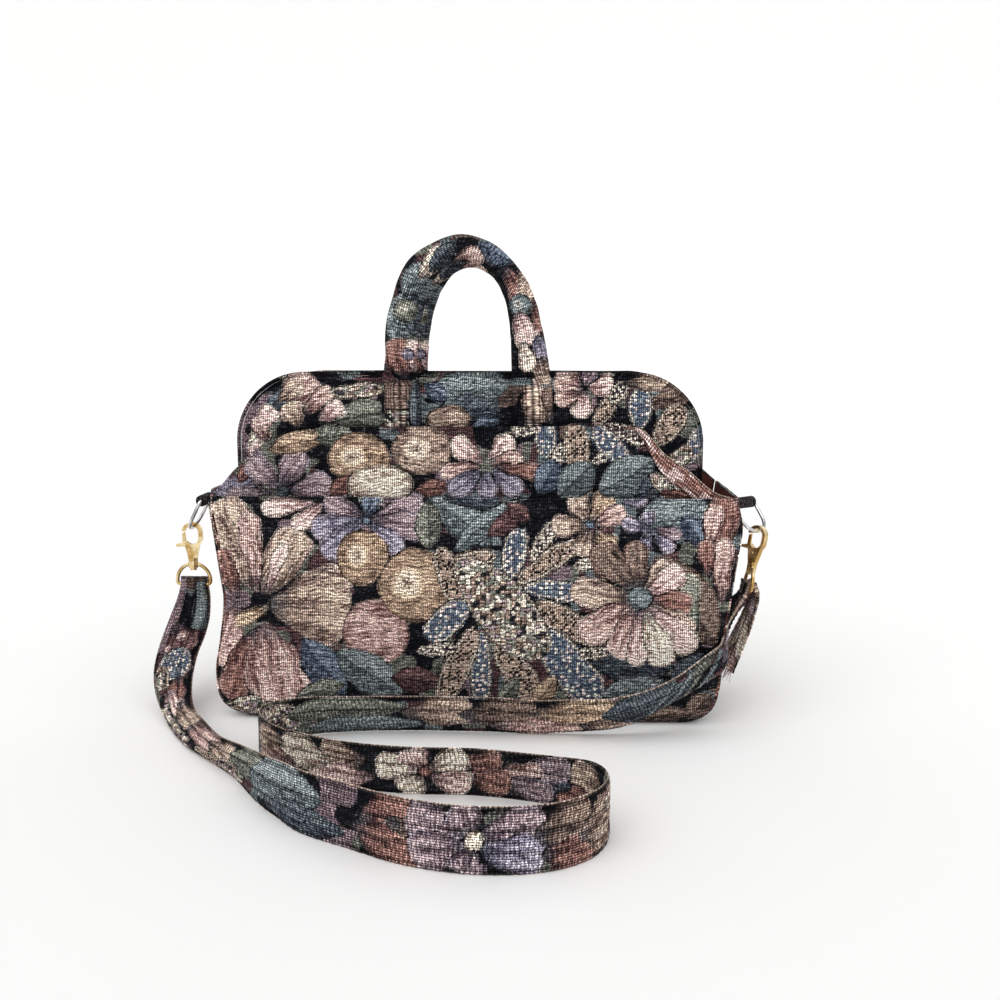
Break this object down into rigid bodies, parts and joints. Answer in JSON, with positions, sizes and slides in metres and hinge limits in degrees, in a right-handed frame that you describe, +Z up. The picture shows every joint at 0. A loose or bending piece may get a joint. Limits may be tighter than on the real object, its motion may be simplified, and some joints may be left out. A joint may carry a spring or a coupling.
{
  "type": "carpet bag",
  "caption": "Small standing carpet bag: zipped compartment inside an open tapestry tote with a front pocket, loop handles and a clip-on shoulder strap.",
  "frame": {"origin": "on the floor under the middle of the zip", "axes": "+X along the bag's width to the viewer's right, -Y towards the pocket side, +Z up"},
  "size_m": [0.4176, 0.3055, 0.3155],
  "materials": {
    "tapestry": "woven tapestry with floral and mosaic fields",
    "edge_binding": "pale woven edging",
    "lining_cloth": "plain red-brown cotton",
    "board": "stiff felted board",
    "handle_filling": "soft cotton cord",
    "zip_tape": "black woven tape",
    "zip_metal": "aged",
    "ring_steel": "polished, lightly worn",
    "hook_brass": "pale gold plating",
    "spring_steel": "bright"
  },
  "bodies": {
    "bag": {"compartment_front_panel": "tapestry", "compartment_rear_panel": "tapestry", "front_stiffener": "board", "rear_stiffener": "board", "front_piping": "edge_binding", "rear_piping": "edge_binding", "zip_strip_front": "tapestry", "zip_strip_rear": "tapestry", "zip_tape_front": "zip_tape", "zip_tape_rear": "zip_tape", "zip_top_stop": "zip_metal", "zip_bottom_stop": "zip_metal", "compartment_gusset": "tapestry", "compartment_lining": "lining_cloth", "front_handle": "tapestry", "rear_handle": "tapestry", "front_handle_core": "handle_filling", "rear_handle_core": "handle_filling", "tote_front_wall": "tapestry", "tote_rear_wall": "tapestry", "left_gusset": "tapestry", "right_gusset": "tapestry", "base_panel": "tapestry", "base_board": "board", "front_pocket": "tapestry", "pocket_binding": "edge_binding", "left_ring_tab": "tapestry", "right_ring_tab": "tapestry", "left_swivel_loop": "hook_brass", "right_swivel_loop": "hook_brass", "shoulder_strap": "tapestry"},
    "zip_slider": {"zip_slider": "zip_metal"},
    "zip_pull": {"zip_pull": "zip_metal"},
    "left_ring": {"left_d_ring": "ring_steel"},
    "left_hook": {"left_hook": "hook_brass", "left_gate_pin": "hook_brass", "left_gate_spring": "spring_steel"},
    "left_gate": {"left_gate": "hook_brass"},
    "right_ring": {"right_d_ring": "ring_steel"},
    "right_hook": {"right_hook": "hook_brass", "right_gate_pin": "hook_brass", "right_gate_spring": "spring_steel"},
    "right_gate": {"right_gate": "hook_brass"}
  },
  "joints": [
    {"name": "zip_slide", "type": "slide", "parent": "bag", "child": "zip_slider", "axis": [-1, 0, 0], "range_m": [0, 0.18]},
    {"name": "zip_pull_hinge", "type": "hinge", "parent": "zip_slider", "child": "zip_pull", "pos_m": [0.097, 0, 0.2244], "axis": [0, 1, 0], "range_deg": [0, 150]},
    {"name": "left_hook_swivel", "type": "hinge", "parent": "bag", "child": "left_hook", "pos_m": [-0.19744, 0, 0.09736], "axis": [0, 0, 1], "range_deg": [-10, 10]},
    {"name": "left_gate_hinge", "type": "hinge", "parent": "left_hook", "child": "left_gate", "pos_m": [-0.19794, 0, 0.10386], "axis": [0, 1, 0], "range_deg": [0, 12], "stiffness_Nm_per_rad": 0.02},
    {"name": "left_ring_swing", "type": "hinge", "parent": "bag", "child": "left_ring", "pos_m": [-0.187, 0, 0.1393], "axis": [0, -1, 0], "range_deg": [0, 4]},
    {"name": "right_hook_swivel", "type": "hinge", "parent": "bag", "child": "right_hook", "pos_m": [0.19275, -0.01085, 0.09999], "axis": [0.1564, 0, 0.9877], "range_deg": [-10, 10]},
    {"name": "right_gate_hinge", "type": "hinge", "parent": "right_hook", "child": "right_gate", "pos_m": [0.19345, -0.01046, 0.10646], "axis": [0.7566, 0.6428, -0.1198], "range_deg": [0, 12], "stiffness_Nm_per_rad": 0.02},
    {"name": "right_ring_swing", "type": "hinge", "parent": "bag", "child": "right_ring", "pos_m": [0.187, 0, 0.1393], "axis": [0.766, 0.6428, 0], "range_deg": [0, 4]}
  ]
}
